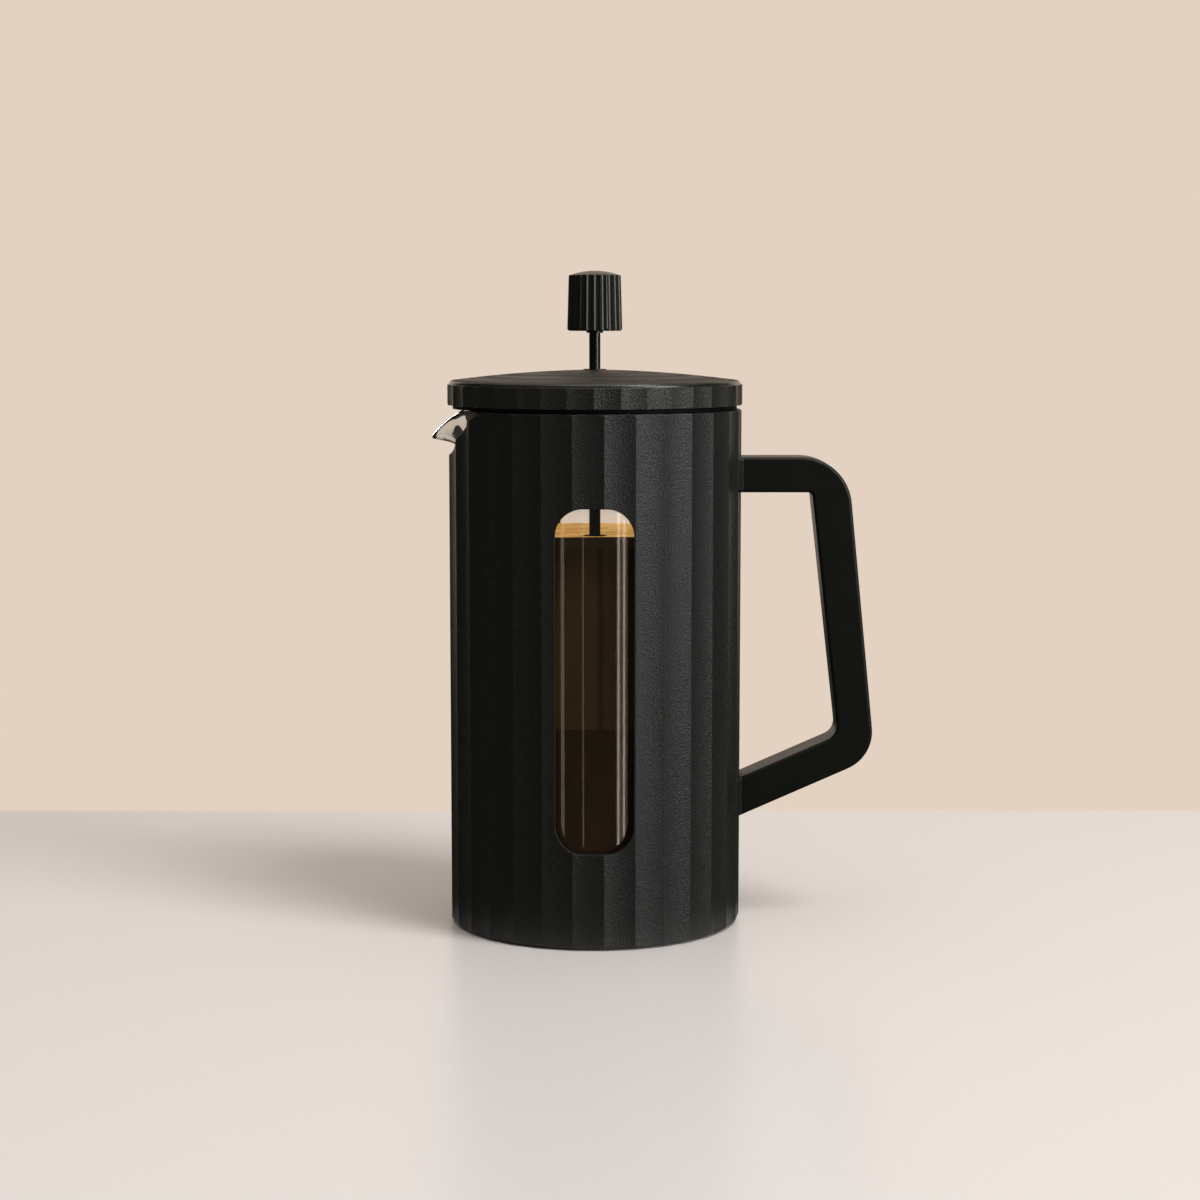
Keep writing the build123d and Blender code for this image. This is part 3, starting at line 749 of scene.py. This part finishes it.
def dress_solids():
    """Gives each solid of the frame that stays in view the finish of its real piece."""
    steel_pieces = ("base_screws", "handle_screws", "rod_collar", "filter_top_plate", "filter_cross_plate")
    worn_by = {
        sleeve_finish(): ("sleeve", "base_cover"),
        handle_finish(): ("handle",),
        lid_finish(): ("lid_cover",),
        strainer_finish(): ("lid_strainer",),
        knob_finish(): ("knob",),
        bush_finish(): ("rod_bush",),
        rod_finish(): ("plunger_rod", "knob_insert"),
        silicone_finish(): ("foot_pad", "beaker_cushion", "grip_ring", "lid_seal"),
        steel_finish(): steel_pieces,
        mesh_finish(): ("filter_mesh",),
    }
    for finish, nodes in worn_by.items():
        for node in nodes:
            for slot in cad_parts[node].material_slots:
                slot.material = finish


def photo_camera():
    lens = bpy.data.cameras.new("photo_camera")
    lens.lens = CAMERA_LENS
    lens.sensor_width = SENSOR
    camera = bpy.data.objects.new("photo_camera", lens)
    camera.location = CAMERA_PLACE
    camera.rotation_euler = (CAMERA_PITCH, 0.0, 0.0)
    bpy.context.scene.collection.objects.link(camera)
    bpy.context.scene.camera = camera


def lamp_face(name, place, facing, width, height, power, tint):
    """A lamp with a rectangular face, which itself shows only in mirror images."""
    lamp = bpy.data.lights.new(name, "AREA")
    lamp.shape = "RECTANGLE"
    lamp.size = width
    lamp.size_y = height
    lamp.energy = power
    lamp.color = tint
    face = bpy.data.objects.new(name, lamp)
    face.location = place
    face.rotation_mode = "QUATERNION"
    face.rotation_quaternion = facing.to_track_quat("-Z", "Y")
    face.visible_camera = False
    face.visible_transmission = False
    bpy.context.scene.collection.objects.link(face)
    return face


def softbox(name, azimuth, elevation, distance, width, height, power, tint):
    """A lamp aimed at the middle of the press. Its angles are in degrees; azimuth 0 is the camera's side."""
    turn = radians(azimuth)
    rise = radians(elevation)
    back = Vector((sin(turn) * cos(rise), -cos(turn) * cos(rise), sin(rise)))
    return lamp_face(name, LAMP_AIM + back * distance, -back, width, height, power, tint)


def lit_pieces(name, piece, state):
    """A group that tells a lamp to light one piece alone, INCLUDE, or everything else, EXCLUDE."""
    group = bpy.data.collections.new(name)
    group.objects.link(piece)
    group.collection_objects[0].light_linking.link_state = state
    return group


def stage_sheet(name, points, faces, finish):
    """A sheet of the studio, which is no part of the press."""
    mesh = bpy.data.meshes.new(name)
    mesh.from_pydata(points, [], faces)
    mesh.materials.append(finish)
    sheet = bpy.data.objects.new(name, mesh)
    bpy.context.scene.collection.objects.link(sheet)
    return sheet


def seen_directly(finish):
    """1 for rays that show the surroundings: straight, mirrored or through glass."""
    rays = ("Is Camera Ray", "Is Glossy Ray", "Is Transmission Ray")
    straight, mirrored, through_glass = finish.node("ShaderNodeLightPath", out=rays)
    return (straight + mirrored + through_glass).clamped()


def backdrop():
    """The world: the backdrop's colour where it shows, and a dim even fill light elsewhere."""
    sky = Finish(bpy.data.worlds.new("studio"))
    shown = sky.blended(seen_directly(sky), FILL_LIGHT, colour(*BACKDROP))
    light = sky.node("ShaderNodeBackground", {}, {"Color": shown, "Strength": 1.0})
    sky.node("ShaderNodeOutputWorld", {}, {"Surface": light})
    bpy.context.scene.world = sky.made


def studio_floor():
    """A pale floor that turns into the backdrop behind the press."""
    finish = new_finish("studio_floor")
    _, y, _ = finish.axes()
    fade = finish.spread(y, *WALL_FOOT)
    mottle = finish.noise(finish.place(), 350.0, detail=3.0)
    darker = colour(*[value - TABLE_MOTTLE for value in TABLE])
    lighter = colour(*[value + TABLE_MOTTLE for value in TABLE])
    paint = finish.blended(mottle, darker, lighter)
    near = finish.shader(Base_Color=paint, Roughness=0.32, Specular_IOR_Level=0.5)
    far = finish.node("ShaderNodeEmission", {}, {"Color": colour(*BACKDROP), "Strength": 1.0})
    shown = finish.node("ShaderNodeMixShader", {}, {0: fade * seen_directly(finish), 1: near, 2: far})
    turns = [2 * pi * side / FLOOR_SIDES for side in range(FLOOR_SIDES)]
    rim = [(FLOOR_RADIUS * cos(turn), FLOOR_RADIUS * sin(turn), 0.0) for turn in turns]
    return stage_sheet("studio_floor", rim, [tuple(range(FLOOR_SIDES))], finish.ended_with(shown))


def soft_lamps(floor):
    """Each lamp lights all but the floor; its twin lights the floor alone and leaves no mirror image."""
    all_but_floor = lit_pieces("all_but_floor", floor, "EXCLUDE")
    only_floor = lit_pieces("only_floor", floor, "INCLUDE")
    for name, lamp in SOFT_LAMPS.items():
        softbox(name, *lamp).light_linking.receiver_collection = all_but_floor
        twin = softbox(name + "_on_floor", *lamp)
        twin.light_linking.receiver_collection = only_floor
        twin.visible_glossy = False


def curtain_finish():
    """Dark cloth, clear from behind."""
    finish = new_finish("dark_curtain")
    folds = finish.noise(finish.place(), 3.0)
    tint = finish.ramp(folds, (0.3, (58, 58, 48)), (0.7, (72, 72, 60)))
    cloth = finish.node("ShaderNodeEmission", {}, {"Color": tint, "Strength": 1.0})
    clear = finish.node("ShaderNodeBsdfTransparent")
    behind = finish.node("ShaderNodeNewGeometry", out="Backfacing")
    return finish.ended_with(finish.node("ShaderNodeMixShader", {}, {0: behind, 1: cloth, 2: clear}))


def dark_screen(name, finish, profile, middle, sweep):
    """A screen swept round the press, which only mirrored and refracted rays meet."""
    count = len(profile)
    points = []
    for column in range(CURTAIN_COLUMNS + 1):
        turn = middle + sweep * (column / CURTAIN_COLUMNS - 0.5)
        points += [(reach * cos(turn), reach * sin(turn), height) for reach, height in profile]
    faces = []
    for here in range(0, count * CURTAIN_COLUMNS, count):
        for corner in range(here, here + count - 1):
            faces.append((corner, corner + 1, corner + count + 1, corner + count))
    screen = stage_sheet(name, points, faces, finish)
    screen.visible_camera = False
    screen.visible_diffuse = False
    screen.visible_shadow = False
    return screen


def dark_surroundings():
    """A curtain and floor cloth on the camera's side, and a smaller cloth before the backdrop."""
    finish = curtain_finish()
    foot = (CLOTH_RADIUS, CLOTH_LIFT)
    curtain = (foot, (CURTAIN_RADIUS, CLOTH_LIFT), (CURTAIN_RADIUS, CURTAIN_HEIGHT))
    dark_screen("dark_curtain", finish, curtain, -pi / 2, CURTAIN_SWEEP)
    back_cloth = (foot, (BACK_CLOTH_REACH, CLOTH_LIFT))
    screen = dark_screen("dark_back_cloth", finish, back_cloth, pi / 2, 2 * pi - CURTAIN_SWEEP)
    screen.visible_transmission = False


def mirrored_in_window(across):
    """Where the camera's view ray that meets the glass at a place across the window goes on to."""
    front = Vector((across, -((GLASS_RADIUS**2 - across**2) ** 0.5), 0.0))
    outward = front.normalized()
    view = front - Vector((CAMERA_PLACE.x, CAMERA_PLACE.y, 0.0))
    return front + view.normalized().reflect(outward) * STRIP_DISTANCE


def glass_lamps(beaker):
    """Lamps that light nothing but the glass: a gleam on the spout, and the streaks on the window."""
    only_glass = lit_pieces("only_glass", beaker, "INCLUDE")
    softbox("spout_gleam", *SPOUT_GLEAM).light_linking.receiver_collection = only_glass
    middle = Vector((0.0, 0.0, (STRIP_TOP + STRIP_BOTTOM) / 2))
    height = STRIP_TOP - STRIP_BOTTOM
    for number, (left, right, glow) in enumerate(STRIPS, start=1):
        ends = mirrored_in_window(left * MM), mirrored_in_window(right * MM)
        width = (ends[1] - ends[0]).length
        foot = (ends[0] + ends[1]) / 2
        power = glow * pi * width * height
        strip = lamp_face(f"window_strip_{number}", foot + middle, -foot, width, height, power, STRIP_TINT)
        strip.light_linking.receiver_collection = only_glass


dress_solids()
beaker = glass_beaker()
coffee_and_foam()
spring_coil()
backdrop()
soft_lamps(studio_floor())
dark_surroundings()
glass_lamps(beaker)
photo_camera()
bpy.context.scene.view_settings.view_transform = "Standard"
